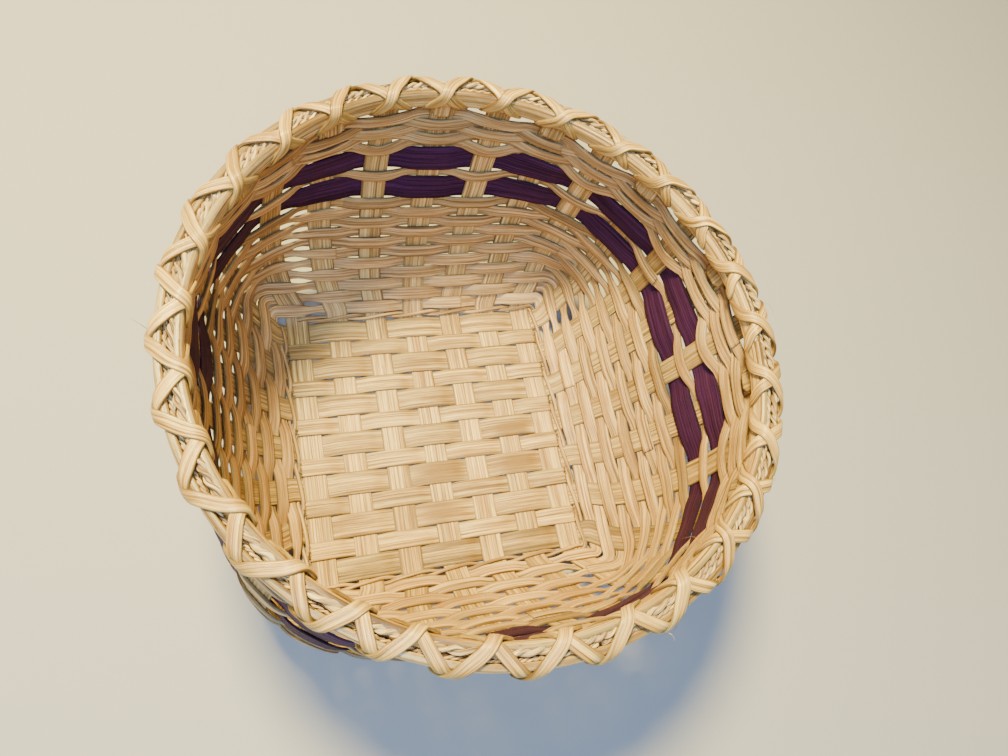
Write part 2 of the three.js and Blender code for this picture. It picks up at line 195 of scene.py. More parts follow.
def stripShell(points, wide, width, thickness, tone, crown=(0.0, 0.0), corner=0.32, section=flatReed,
               ridges=(0.0, 1.0)):
    # a strip carried along a path: the section's corners sit at half the width and half the thickness, less
    # the corner's radius; the faces bulge by a parabola, as high as the crown of each, and by a cosine with
    # the depth and spacing of the ridges
    heading = unit(np.gradient(points, axis=0))
    thick = unit(np.cross(heading, wide))
    wide = np.cross(thick, heading)
    width = np.broadcast_to(width, len(points))[:, None]
    thickness = np.broadcast_to(thickness, len(points))[:, None]
    radius = np.minimum(corner, thickness * largestCorner)
    cornerAcross, cornerThick, directionAcross, directionThick = section.T
    across = cornerAcross * (width / 2 - radius) + directionAcross * radius
    bulge = np.where(cornerThick > 0, crown[0], crown[1]) * (1 - (2 * across / width) ** 2)
    bulge = bulge + ridges[0] * np.cos(2 * np.pi * across / ridges[1]) * np.abs(cornerThick)
    through = cornerThick * (thickness / 2 - radius + bulge) + directionThick * radius
    grid = points[:, None] + across[..., None] * wide[:, None] + through[..., None] * thick[:, None]
    travel = travelled(points) + dice.uniform(0, longestReed)
    # how near the edge each point lies, which the finish darkens: partly the reed's own edge colour, partly
    # painted shade between strips
    edge = np.abs(2 * across / width)
    drifted = across + grainDrift * through
    grain = np.stack([np.broadcast_to(travel[:, None], across.shape), drifted, edge], -1)
    return grid, grain, tone


def shellFaces(points):
    # quads between neighbouring stations and a cap at each end, all turned round where the volume
    # that the quads enclose comes out negative
    stations, around = points.shape[:2]
    index = np.arange(stations * around).reshape(stations, around)
    nextAround = np.roll(index, -1, axis=1)
    quads = np.stack([index[:-1], nextAround[:-1], nextAround[1:], index[1:]], -1).reshape(-1, 4)
    flatPoints = points.reshape(-1, 3)
    centre = flatPoints.mean(0)
    a, b, c = (flatPoints[quads[:, i]] - centre for i in (0, 1, 2))
    faces = quads.tolist() + [index[0][::-1].tolist(), index[-1].tolist()]
    if np.einsum("ij,ij->i", a, np.cross(b, c)).sum() < 0:
        faces = [face[::-1] for face in faces]
    return faces


# darker patches on the side-to-side strips of the base: centre x, y and half sizes
stainSpots = np.array([[0, -24, 15, 5], [45, -24, 14, 5], [-3, -46, 12, 5], [47, -2, 11, 4]])


def stainAt(points):
    # each spot falls off as a bell of the fourth power of the distance from its centre
    offsets = (points[:, None, :2] - stainSpots[:, :2]) / stainSpots[:, 2:]
    return np.exp(-0.5 * (offsets ** 2).sum(-1) ** 2).sum(1)


def makeMesh(name, shells, nodeName, material, stained=False):
    # one piece from its shells, each a grid of stations by section points, its grain and its tone:
    # all points one after the other, moved to the base centre and scaled to metres
    faces = []
    tones = []
    base = 0
    for grid, grain, tone in shells:
        count = grid.shape[0] * grid.shape[1]
        faces += [[i + base for i in face] for face in shellFaces(grid)]
        tones.append(np.full(count, tone))
        base += count
    points = np.concatenate([grid.reshape(-1, 3) for grid, grain, tone in shells])
    grains = np.concatenate([grain.reshape(-1, 3) for grid, grain, tone in shells])
    stain = stainAt(points) if stained else np.zeros(base)
    mesh = bpy.data.meshes.new(name)
    mesh.from_pydata(((points + baseCentre) * mm).tolist(), [], faces)
    grainData = mesh.attributes.new("grain", "FLOAT_VECTOR", "POINT").data
    grainData.foreach_set("vector", grains.astype(np.float32).ravel())
    for attribute, values in (("tone", np.concatenate(tones)), ("stain", stain)):
        valueData = mesh.attributes.new(attribute, "FLOAT", "POINT").data
        valueData.foreach_set("value", values.astype(np.float32))
    mesh.polygons.foreach_set("use_smooth", [len(face) == 4 for face in faces])
    mesh.update()
    piece = bpy.data.objects.new(name, mesh)
    bpy.context.scene.collection.objects.link(piece)
    mesh.materials.append(material)
    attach(piece, "root")
    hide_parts(nodeName)


toneRange = {"spread": 0.16, "least": 0.08, "most": 0.95}


def pieceTone(spread=1.0, middle=0.5):
    # one shade per strip of reed, drawn from a bell about the middle and kept in range
    shade = dice.normal(middle, toneRange["spread"] * spread)
    return float(np.clip(shade, toneRange["least"], toneRange["most"]))


# finishes: streaks run from dark through mid to light, warm lies in patches, rough is least and most,
# and the last entry is how dark the strip's edges are: partly the reed's own colour at its cut edges and
# partly painted shade between strips; on the cords, painted shade in the groove between the strands
finishes = {
    "stakeReed": {"dark": (0.25, 0.132, 0.043), "mid": (0.47, 0.257, 0.077), "light": (0.85, 0.595, 0.225),
                  "warm": (0.30, 0.15, 0.033), "rough": (0.36, 0.60), "gloss": 0.45, "edgeColourAndShade": 0.42},
    "weaverReed": {"dark": (0.26, 0.13, 0.043), "mid": (0.46, 0.25, 0.084), "light": (0.80, 0.54, 0.235),
                   "warm": (0.38, 0.18, 0.050), "rough": (0.38, 0.62), "gloss": 0.45, "edgeColourAndShade": 0.38},
    "dyedReed": {"dark": (0.022, 0.0048, 0.022), "mid": (0.041, 0.0086, 0.046),
                 "light": (0.080, 0.022, 0.090), "warm": (0.054, 0.015, 0.050), "rough": (0.50, 0.70),
                 "gloss": 0.1, "edgeColourAndShade": 0.42},
    "rimReed": {"dark": (0.20, 0.092, 0.021), "mid": (0.60, 0.33, 0.088), "light": (0.97, 0.69, 0.28),
                "warm": (0.48, 0.23, 0.045), "rough": (0.22, 0.44), "gloss": 0.6, "edgeColourAndShade": 0.36},
    "lashReed": {"dark": (0.26, 0.125, 0.026), "mid": (0.53, 0.29, 0.062), "light": (0.92, 0.61, 0.19),
                 "warm": (0.45, 0.21, 0.036), "rough": (0.20, 0.40), "gloss": 0.6, "edgeColourAndShade": 0.36},
    "cordFibre": {"dark": (0.08, 0.034, 0.018), "mid": (0.45, 0.26, 0.092), "light": (0.90, 0.67, 0.31),
                  "warm": (0.34, 0.18, 0.08), "rough": (0.34, 0.62), "gloss": 0.5, "edgeColourAndShade": 0.1},
}
# noises stretched along the reed: how many per millimetre along and across, and a shift to keep them apart
grainNoises = {
    "streaks": {"along": 0.012, "across": 0.95, "shift": 0.0, "detail": 7.0, "roughness": 0.7},
    "fibres": {"along": 0.05, "across": 4.0, "shift": 7.0, "detail": 4.0, "roughness": 0.6},
    "patches": {"along": 0.025, "across": 0.14, "shift": 19.0, "detail": 3.0, "roughness": 0.5},
    "ticks": {"along": 0.25, "across": 3.5, "shift": 31.0, "detail": 2.0, "roughness": 0.5},
    "glints": {"along": 0.02, "across": 1.6, "shift": 43.0, "detail": 4.0, "roughness": 0.6},
    "bands": {"along": 0.008, "across": 0.4, "shift": 57.0, "detail": 2.0, "roughness": 0.5},
}
toneShift = 53.0  # how far the noises move from the darkest strip to the lightest
# what each does to the colour: the share mixed in, or the level it is multiplied by, at values of the noise
grainSteps = {
    "glints": [(0.54, 0.0), (0.63, 0.8)],
    "bands": [(0.36, 0.74), (0.5, 1.0), (0.64, 1.18)],
    "patches": [(0.5, 0.0), (0.72, 0.65)],
    "fibres": [(0.34, 0.45), (0.47, 1.0), (0.7, 1.0)],
    "ticks": [(0.64, 0.0), (0.72, 0.6)],
}
streakSteps = (0.39, 0.48, 0.59)  # dark, mid and light
toneSteps = [(0.0, 0.25), (0.08, 0.62), (0.5, 0.93), (1.0, 1.14)]
# where the edge darkening starts: partly the reed's own edge colour, partly painted shade between strips and
# in the cords' groove
edgeDarkeningStart = 0.8  # share of the half width
strengths = {"stain": 0.85, "fibres": 0.75, "edgeColourAndShade": 0.9}
relief = {"distance": 0.0003, "fibres": 0.45}  # metres, and the fibres' share beside the streaks
roughBetween = (0.3, 0.7)  # values of the streaks


def reedMaterial(name, finish):
    # colour: streaks and glints in the finish's colours, times slow bands, then patches and stains of the
    # warm colour, times fine fibres, dark ticks, times the darker edges and the strip's own tone; the darker
    # edges are partly the reed's own colour and partly painted shade between strips and in the cords'
    # groove;
    # the streaks also set the roughness, and with the fibres the relief
    material = bpy.data.materials.new(name)
    material.use_nodes = True
    nodes = material.node_tree.nodes
    links = material.node_tree.links
    nodes.clear()

    def feed(socket, value):
        # a socket is linked, anything else is set as the value
        if isinstance(value, bpy.types.NodeSocket):
            links.new(value, socket)
        else:
            socket.default_value = value

    def add(kind, settings=None, **inputs):
        # a node with its settings and inputs, which go by name or, as i0, i1 and so on, by number
        made = nodes.new(kind)
        for key, value in (settings or {}).items():
            setattr(made, key, value)
        for key, value in inputs.items():
            numbered = key[0] == "i" and key[1:].isdigit()
            feed(made.inputs[int(key[1:]) if numbered else key], value)
        return made

    def calculate(operation, **inputs):
        # one step of arithmetic
        return add("ShaderNodeMath", {"operation": operation}, **inputs).outputs[0]

    def noise(kind):
        # cloudy noise read at the grain, which is scaled along and across, then moved by tone and shift
        stretched = add("ShaderNodeVectorMath", {"operation": "MULTIPLY_ADD"}, i0=grain,
                        i1=(kind["along"], kind["across"], 0.0), i2=byTone)
        apart = add("ShaderNodeVectorMath", {"operation": "ADD"}, i0=stretched.outputs[0],
                    i1=(kind["shift"], kind["shift"] * 2, 0))
        return add("ShaderNodeTexNoise", {"noise_dimensions": "3D"}, Vector=apart.outputs[0], Scale=1.0,
                   Detail=kind["detail"], Roughness=kind["roughness"]).outputs["Fac"]

    def ramp(value, stops):
        # colours blended straight from stop to stop
        made = add("ShaderNodeValToRGB", Fac=value)
        elements = made.color_ramp.elements
        while len(elements) < len(stops):
            elements.new(0.5)
        for element, (position, colour) in zip(elements, stops):
            element.position = position
            element.color = (*colour, 1.0)
        return made.outputs["Color"]

    def grey(value, stops):
        # the same with levels of grey
        return ramp(value, [(position, (level,) * 3) for position, level in stops])

    def mix(kind, amount, first, second):
        # the first colour, with so much of it mixed with or multiplied by the second
        made = add("ShaderNodeMix", {"data_type": "RGBA", "blend_type": kind})
        for socket, value in ((0, amount), (6, first), (7, second)):
            feed(made.inputs[socket], value)
        return made.outputs[2]

    grain = add("ShaderNodeAttribute", {"attribute_name": "grain"}).outputs["Vector"]
    tone = add("ShaderNodeAttribute", {"attribute_name": "tone"}).outputs["Fac"]
    stain = add("ShaderNodeAttribute", {"attribute_name": "stain"}).outputs["Fac"]
    shift = calculate("MULTIPLY", i0=tone, i1=toneShift)
    byTone = add("ShaderNodeCombineXYZ", X=0.0, Y=0.0, Z=shift).outputs[0]
    edge = add("ShaderNodeSeparateXYZ", Vector=grain).outputs[2]
    noises = {kind: noise(settings) for kind, settings in grainNoises.items()}
    steps = {kind: grey(noises[kind], stops) for kind, stops in grainSteps.items()}
    light = (*finish["light"], 1.0)
    warm = (*finish["warm"], 1.0)
    dark = (*finish["dark"], 1.0)

    streakColours = (finish["dark"], finish["mid"], finish["light"])
    colour = ramp(noises["streaks"], list(zip(streakSteps, streakColours)))
    colour = mix("MIX", steps["glints"], colour, light)
    colour = mix("MULTIPLY", 1.0, colour, steps["bands"])
    colour = mix("MIX", steps["patches"], colour, warm)
    colour = mix("MIX", calculate("MULTIPLY", i0=stain, i1=strengths["stain"]), colour, warm)
    colour = mix("MULTIPLY", strengths["fibres"], colour, steps["fibres"])
    colour = mix("MIX", steps["ticks"], colour, dark)
    # painted shade, partly the reed's own edge colour: darker towards each strip's edges and into the cords'
    # groove
    edgeDarkened = grey(edge, [(edgeDarkeningStart, 1.0), (1.0, finish["edgeColourAndShade"])])
    colour = mix("MULTIPLY", strengths["edgeColourAndShade"], colour, edgeDarkened)
    colour = mix("MULTIPLY", 1.0, colour, grey(tone, toneSteps))

    height = calculate("MULTIPLY_ADD", i0=noises["fibres"], i1=relief["fibres"], i2=noises["streaks"])
    bump = add("ShaderNodeBump", Strength=1.0, Distance=relief["distance"], Height=height)
    leastRough, mostRough = finish["rough"]
    rough = add("ShaderNodeMapRange", Value=noises["streaks"], i1=roughBetween[0], i2=roughBetween[1],
                i3=mostRough, i4=leastRough)
    shader = add("ShaderNodeBsdfPrincipled", Roughness=rough.outputs[0], Normal=bump.outputs[0])
    links.new(colour, shader.inputs["Base Color"])
    shader.inputs["Specular IOR Level"].default_value = finish["gloss"]
    output = add("ShaderNodeOutputMaterial")
    links.new(shader.outputs[0], output.inputs["Surface"])
    return material


reeds = {name: reedMaterial(name, finish) for name, finish in finishes.items()}
print("finishes made")

# stakes: strips that cross in the base and go up the walls; a stray is its period and amount
stake = {
    "width": 12.7,
    "thickness": 1.0,
    "crown": (0.04, 0.04),
    "rise": 1.0,  # how far a side-to-side strip steps over or under in the base
    "levelling": 2.2,  # how level it lies on each step
    "dip": 0.12,  # how far a front-to-back strip gives way under it
    "frontBackStray": (120, 0.25),
    "sideToSideStray": (120, 0.2),
    "baseStations": 220,
    "bendGap": 0.5,  # the base's part and the wall's both stop short of the bend
    "topGap": 0.4,
    "wallStep": 1.0,
    "roundStray": (90, 0.012),  # round the wall, in stakes
    "roundStrayFrom": 40,  # length of wall over which it sets in
    "outStray": (60, 0.12),
    "outStrayFrom": 30,
    "foldBelowTop": 0.2,
    "foldTurn": (8, 172, 12),  # first angle, last angle, stations
    "foldHeight": 0.75,  # of half a circle
    "tailStep": 0.6,
    "tailDrop": 13.0,
    "tailOut": 2.4,
    "tailTuck": 0.15,
    "tuckPower": 1.5,
    "tipLength": 3.0,
    "tipShare": 0.5,
    "step": 0.9,
    "bendSpread": 1.3,
    "twistSpread": 2.5,
    "toneSpread": 0.7,
    "frontBackTone": 0.74,
    "sideToSideTone": 0.38,
}


def foldsIn(index):
    # every second stake end goes over the rim row and down inside
    return index % 2 == 1


def stakeEnd(index):
    # up the wall, and for every second stake half a flattened circle over the rim row and down inside
    # as a tail, which is narrowed towards its tip
    length = np.arange(stake["bendGap"], wall["top"] - stake["topGap"], stake["wallStep"])
    astray = sway(length, *stake["roundStray"]) * np.clip(length / stake["roundStrayFrom"], 0, 1)
    point, up, side, out = wallFrame(index + astray, length)
    settingIn = np.clip(length / stake["outStrayFrom"], 0, 1)[:, None]
    point = point + out * sway(length, *stake["outStray"])[:, None] * settingIn
    width = np.full(len(length), stake["width"])
    if not foldsIn(index):
        return point, side, width
    radius = stake["tailOut"] / 2
    topPoint, topUp, topSide, topOut = wallFrame(float(index), wall["top"] - stake["foldBelowTop"])
    turn = np.radians(np.linspace(*stake["foldTurn"]))[:, None]
    over = topPoint + topUp * radius * np.sin(turn) * stake["foldHeight"]
    over = over + topOut * radius * (np.cos(turn) - 1)
    fall = np.arange(stake["tailStep"], stake["tailDrop"], stake["tailStep"])[:, None]
    tuck = stake["tailTuck"] * (fall / stake["tailDrop"]) ** stake["tuckPower"]
    tail = topPoint - topUp * fall - topOut * (2 * radius - tuck)
    point = np.concatenate([point, over, tail])
    side = np.concatenate([side, np.tile(topSide, (len(over) + len(tail), 1))])
    left = stake["tailDrop"] - fall[:, 0]
    clipped = stake["tipShare"] + (1 - stake["tipShare"]) * np.clip(left / stake["tipLength"], 0, 1)
    width = np.concatenate([width, np.full(len(over), stake["width"]), stake["width"] * clipped])
    return point, side, width


def stakePath(startIndex, across, wide, endIndex):
    # one end, the base, the other end, with the width pointing the same way throughout, at even steps
    # and smoothed
    first, firstWide, firstWidth = (values[::-1] for values in stakeEnd(startIndex))
    last, lastWide, lastWidth = stakeEnd(endIndex)
    points = np.concatenate([first, across, last])
    wides = np.concatenate([firstWide, np.tile(wide, (len(across), 1)), lastWide])
    wides = wides * np.where(wides @ np.array(wide) < 0, -1.0, 1.0)[:, None]
    widths = np.concatenate([firstWidth, np.full(len(across), stake["width"]), lastWidth])
    points, wides, widths = resampled(points, stake["step"], wides, widths)
    points = smoothed(points, stake["step"], stake["bendSpread"])
    wides = unit(smoothed(wides, stake["step"], stake["twistSpread"]))
    return points, wides, widths[:, 0]


def layStake(name, startIndex, across, wide, endIndex, tone, stained):
    # one strip from wall to wall, in a shade near the tone
    points, wides, widths = stakePath(startIndex, across, wide, endIndex)
    shade = pieceTone(stake["toneSpread"], tone)
    shell = stripShell(points, wides, widths, stake["thickness"], shade, crown=stake["crown"])
    makeMesh(name + "_reed", [shell], name, reeds["stakeReed"], stained)


def underAndOver(x, underOdd):
    # height of a side-to-side strip at x: a cosine with its crests levelled off by a hyperbolic tangent
    place = x / wall["pitch"] + (wall["stakesPerSide"] + 1) / 2
    wave = np.cos(np.pi * (place if underOdd else place + 1))
    return stake["rise"] * np.tanh(stake["levelling"] * wave) / np.tanh(stake["levelling"])


baseMiddle = (wall["stakesPerSide"] + 1) / 2
baseReach = wall["start"] - stake["bendGap"]
inset = np.linspace(-baseReach, baseReach, stake["baseStations"])
frontBackLevel = wall["level"] - stake["dip"] * np.cos(np.pi * (inset / wall["pitch"] * 2))
sideToSideLevel = wall["level"] + underAndOver(inset, True)
for number in range(1, wall["stakesPerSide"] + 1):
    x = (number - baseMiddle) * wall["pitch"] + sway(inset, *stake["frontBackStray"])
    across = np.stack([x, -inset, frontBackLevel], -1)
    layStake(f"front_back_stake_{number}", number - 1, across, (1.0, 0.0, 0.0),
             3 * wall["stakesPerSide"] - number, stake["frontBackTone"], False)
for number in range(1, wall["stakesPerSide"] + 1):
    y = (baseMiddle - number) * wall["pitch"] + sway(inset, *stake["sideToSideStray"])
    across = np.stack([inset, y, sideToSideLevel], -1)
    layStake(f"side_to_side_stake_{number}", stakeCount - number, across, (0.0, 1.0, 0.0),
             wall["stakesPerSide"] - 1 + number, stake["sideToSideTone"], True)
print("stakes laid")

# base fillers: short strips between the side-to-side stakes, folded under at both ends
filler = {
    "width": 9.6,
    "thickness": 1.0,
    "crown": (0.05, 0.05),
    "fold": 75.2,  # from the base centre
    "levelShort": 1.5,  # the level part stops short of the fold
    "stations": 240,
    "foldTurn": (80, -80, 9),  # first angle, last angle, stations
    "foldIn": 0.7,  # from the fold to the middle of its curve
    "foldAcross": 0.75,
    "foldDown": 1.05,
    "tuckDown": 1.07,
    "tuckBack": 63.5,
    "step": 0.7,
    "bendSpread": 0.6,
    "stray": (110, 0.15),  # period and amount
    "toneSpread": 0.7,
    "tone": 0.4,
}
# splinters at a filler's cracked fold: pairs are the least and the most
splinter = {
    "count": 18,
    "inwards": (-1.0, 0.0),
    "across": (-4.6, 4.6),
    "above": (0.6, 1.2),
    "ahead": (0.3, 1.0),
    "aside": (-0.3, 0.3),
    "rising": (0.0, 0.8),
    "length": (1.2, 2.8),
    "curl": (0.1, 0.35),
    "thickness": (0.4, 0.95),
    "tip": 0.08,
    "tones": (0.0, 0.02, 0.05, 0.4),
    "wide": (0.0, 0.3, 1.0),
    "stations": 7,
    "sides": 6,
}


def between(key):
    # an even draw from a pair of the splinter's settings
    return dice.uniform(*splinter[key])


def frayedFibres(corner, outward):
    # thin splinters that stand off a cracked fold, each a tapering rod on a straight line plus a curl
    # that grows with the square of the travel
    shells = []
    for _ in range(splinter["count"]):
        start = corner + np.array([outward * between("inwards"), between("across"), between("above")])
        heading = unit(np.array([outward * between("ahead"), between("aside"), between("rising")]))
        length = between("length")
        travel = np.linspace(0, length, splinter["stations"])[:, None]
        curl = unit(dice.normal(size=3)) * between("curl")
        points = start + heading * travel + curl * travel ** 2 / length
        thin = np.linspace(between("thickness"), splinter["tip"], splinter["stations"])
        tone = dice.choice(splinter["tones"])
        shells.append(stripShell(points, splinter["wide"], thin, thin, tone, corner=fullyRound,
                                 section=roundSection(splinter["sides"])))
    return shells


for number in range(1, wall["stakesPerSide"]):
    y = (baseMiddle - number - 0.5) * wall["pitch"]
    levelReach = filler["fold"] - filler["levelShort"]
    x = np.linspace(-levelReach, levelReach, filler["stations"])
    over = np.stack([x, np.full_like(x, y), wall["level"] + underAndOver(x, False)], -1)
    turn = np.radians(np.linspace(*filler["foldTurn"]))
    bend = np.stack([filler["fold"] - filler["foldIn"] + filler["foldAcross"] * np.cos(turn),
                     np.full_like(turn, y), wall["level"] + filler["foldDown"] * np.sin(turn)], -1)
    tucked = wall["level"] - filler["tuckDown"]
    back = np.array([[levelReach, y, tucked], [filler["tuckBack"], y, tucked]])
    right = np.concatenate([bend, back])
    left = (right * (-1, 1, 1))[::-1]
    points = resampled(np.concatenate([left, over, right]), filler["step"])[0]
    points = smoothed(points, filler["step"], filler["bendSpread"])
    points[:, 1] += sway(points[:, 0], *filler["stray"])
    shells = [stripShell(points, (0.0, 1.0, 0.0), filler["width"], filler["thickness"],
                         pieceTone(filler["toneSpread"], filler["tone"]), crown=filler["crown"])]
    for outward in (-1, 1):
        shells += frayedFibres(np.array([outward * filler["fold"], y, wall["level"]]), outward)
    name = f"base_filler_{number}"
    makeMesh(name + "_reed", shells, name, reeds["stakeReed"])
print("base filled in")

# rows of weavers: pitch and widths over a stake and between stakes; crown is of the outer and inner face;
# tilt shingles crowded rows in the gaps; dip is how far a strip slides down where it passes inside a stake;
# pinch is the share of its width that it loses at the base's corners
plainRow = {"thickness": 1.3, "crown": (0.12, 0.05), "tilt": 0.1, "dip": 0.0, "pinch": 0.0}
narrow = {**plainRow, "pitch": 6.85, "over": 7.4, "between": 6.85, "thickness": 1.35, "crown": (0.14, 0.05),
          "pinch": 0.42}
dyed = {**plainRow, "pitch": 15.7, "over": 15.9, "between": 15.2, "thickness": 0.95, "crown": (0.08, 0.03),
        "tilt": 0.03}
spacer = {**plainRow, "pitch": 4.7, "over": 6.6, "between": 4.4, "dip": 2.2}
covering = {**plainRow, "pitch": 4.5, "over": 6.6, "between": 5.0, "tilt": 0.3, "dip": 4.2}
crowded = {**plainRow, "pitch": 4.5, "over": 6.6, "between": 5.0, "tilt": 0.32, "dip": 1.4}
rimRow = {**plainRow, "pitch": 4.6, "over": 4.6, "between": 4.4, "thickness": 1.2, "crown": (0.1, 0.05),
          "tilt": 0.0}
rows = [(f"lower_weaver_{number:02d}", narrow, "weaver_reed", "weaverReed") for number in range(1, 12)]
rows += [("dyed_band_lower", dyed, "dyed_reed", "dyedReed"),
         ("spacer_weaver", spacer, "weaver_reed", "weaverReed"),
         ("dyed_band_upper", dyed, "dyed_reed", "dyedReed"),
         ("upper_weaver_1", covering, "weaver_reed", "weaverReed")]
rows += [(f"upper_weaver_{number}", crowded, "weaver_reed", "weaverReed") for number in range(2, 6)]
rows += [("rim_row_weaver", rimRow, "weaver_reed", "weaverReed")]
# how every row is laid; a stray is its period in stakes and its amount
weave = {
    "firstRowAt": 4.7,
    "seat": 0.08,  # gap to the stake
    "levelling": 2.0,  # how level a strip lies on each stake
    "stakeSpacing": (23.0, 5.8, 0.6),  # at the base, added up to the rim, power of the share of the wall
    "dipPower": 1.5,
    "tiltPower": 0.7,
    "swellShare": 0.85,  # of the wave, past which the strip has its full width
    "swellPower": 0.8,
    "pinchReach": 0.3,  # in stakes
    "corner": 0.4,
    "stations": 15,  # to a stake
    "riseStray": (9, 0.3),
    "quickStray": (2.6, 0.12),
    "dipStray": (3, 0.2),
    "rollStray": (4.5, 0.07),
    "widthStray": (6, 0.03),
}
# where a row's two ends lap: places and reaches along the row are in stakes
lap = {
    "first": 3,
    "stride": 5,
    "dyed": {11: 16, 13: 18},  # the dyed rows lap on the near side
    "before": 0.45,
    "reach": 1.3,
    "taper": 0.5,
    "step": 0.42,  # the first end stands this far out and the last this far in
    "thinned": 0.42,  # share of the thickness that an end loses
}


def inAndOut(place, row, contact, length):
    # distance from the wall's middle: inside (negative) of one stake and outside the next, a cosine levelled
    # off by a hyperbolic tangent and scaled so that the strip touches the stake's two edges
    atBase, added, power = weave["stakeSpacing"]
    spacing = atBase + added * np.clip(length / wall["top"], 0, 1) ** power
    wave = np.cos(np.pi * (place + row))
    atEdge = np.tanh(weave["levelling"] * np.cos(np.pi * stake["width"] / 2 / spacing))
    return -contact * np.tanh(weave["levelling"] * wave) / atEdge, wave


def layRow(row, kind, length):
    # once round the wall in and out of the stakes and on past its own start, the two ends thinned;
    # it dips, tilts and swells by powers of the same wave, and pinches by a bell about each corner
    first = lap["dyed"].get(row, (row * lap["stride"] + lap["first"]) % stakeCount)
    start = first + 1 if (first + row) % 2 == 0 else first
    endReach = lap["before"] if kind is rimRow else lap["reach"]
    stations = weave["stations"] * (stakeCount + 2)
    place = np.linspace(start - lap["before"], start + stakeCount + endReach, stations)
    contact = stake["thickness"] / 2 + kind["thickness"] / 2 + weave["seat"]
    out, wave = inAndOut(place, row, contact, length)
    fromStart = 1 - np.clip((place - start - endReach) / lap["taper"], 0, 1)
    toEnd = np.clip((place - start - stakeCount + lap["before"]) / lap["taper"] + 1, 0, 1)
    out = out + lap["step"] * (fromStart - toEnd)
    thickness = kind["thickness"] * (1 - lap["thinned"] * np.maximum(fromStart, toEnd))
    length = length + sway(place, *weave["riseStray"]) + sway(place, *weave["quickStray"])
    dip = kind["dip"] * np.clip(wave, 0, 1) ** weave["dipPower"]
    length = length - dip * (1 + sway(place, *weave["dipStray"]))
    point, up, side, outward = wallFrame(place, length)
    roll = sway(place, *weave["rollStray"]) + kind["tilt"] * (1 - np.abs(wave)) ** weave["tiltPower"]
    wide = up * np.cos(roll)[:, None] + outward * np.sin(roll)[:, None]
    swell = np.clip(np.abs(wave) / weave["swellShare"], 0, 1) ** weave["swellPower"]
    width = kind["between"] + (kind["over"] - kind["between"]) * swell
    fromCorner = (place - 0.5) % wall["stakesPerSide"]
    fromCorner = np.minimum(fromCorner, wall["stakesPerSide"] - fromCorner)
    pinch = kind["pinch"] * np.exp(-(fromCorner / weave["pinchReach"]) ** 2)
    width = width * (1 + sway(place, *weave["widthStray"]) - pinch)
    points = point + outward * out[:, None]
    return stripShell(points, wide, width, thickness, pieceTone(), crown=kind["crown"],
                      corner=weave["corner"])


level = weave["firstRowAt"]
for row, (name, kind, slotName, finishName) in enumerate(rows):
    if kind is rimRow:
        level = wall["top"] - kind["pitch"]
    shell = layRow(row, kind, level + kind["pitch"] / 2)
    makeMesh(name + "_reed", [shell], name, reeds[finishName])
    level += kind["pitch"]
print("rows woven")

# twining at the base edge: two round strands that trade sides between every two stakes
twine = {
    "diameter": 2.1,
    "length": 2.1,  # up the wall
    "sit": 1.5,  # off the wall's middle
    "swap": 1.05,  # above and below each other where they cross
    "levelling": 1.6,
    "short": 0.75,  # of the full round, in stakes
    "stations": 24,  # to a stake
    "riseStray": (5, 0.15),  # period in stakes and amount
    "thickStray": (4, 0.06),
}
place = np.linspace(0, stakeCount - twine["short"], twine["stations"] * stakeCount)
for number, direction in ((1, 1), (2, -1)):
    point, up, side, outward = wallFrame(place, np.full_like(place, twine["length"]))
    wave = np.tanh(twine["levelling"] * np.cos(np.pi * place))
    out = direction * twine["sit"] * wave / np.tanh(twine["levelling"])
    rise = -direction * twine["swap"] * np.sin(np.pi * place) + sway(place, *twine["riseStray"])
    points = point + outward * out[:, None] + up * rise[:, None]
    thick = twine["diameter"] * (1 + sway(place, *twine["thickStray"]))
    shell = stripShell(points, up, thick, thick, pieceTone(), corner=fullyRound, section=roundSection())
    name = f"twining_strand_{number}"
    makeMesh(name + "_reed", [shell], name, reeds["weaverReed"])
print("base edge twined")

# rim: two thick bands either side of the wall's top; heights count from the top of the rim row,
# and a stray is its period in stakes and its amount
rim = {
    "bottom": -4.78,
    "inner": {"face": -2.9, "direction": -1, "height": 8.6, "thickness": 2.3, "crown": 0.75, "lap": 9.0,
              "sunk": 0.0},
    "outer": {"face": 1.65, "direction": 1, "height": 8.8, "thickness": 2.6, "crown": 0.9, "lap": 20.2,
              "sunk": 1.9},
    "lapReach": 1.5,
    "shaved": 0.84,  # share of the thickness that an end loses
    "sunkMost": 8.0,  # where the outer band lies lowest under its cord
    "cornerRadius": 0.8,
    "section": reedSection(9, 5),
    "stations": 15,  # to a stake
    "toneSpread": 0.4,
    "depthStray": (5, 0.12),
    "riseStray": (7, 0.25),
    "rollStray": (6, 0.06),
    "heightStray": (8, 0.04),
}


def rimPoint(place, rise, out):
    # a place round the rim, so far above the top of the wall and out of it
    point, up, side, outward = wallFrame(place, np.full_like(place, wall["top"]))
    return point + up * np.asarray(rise)[..., None] + outward * np.asarray(out)[..., None], up, outward


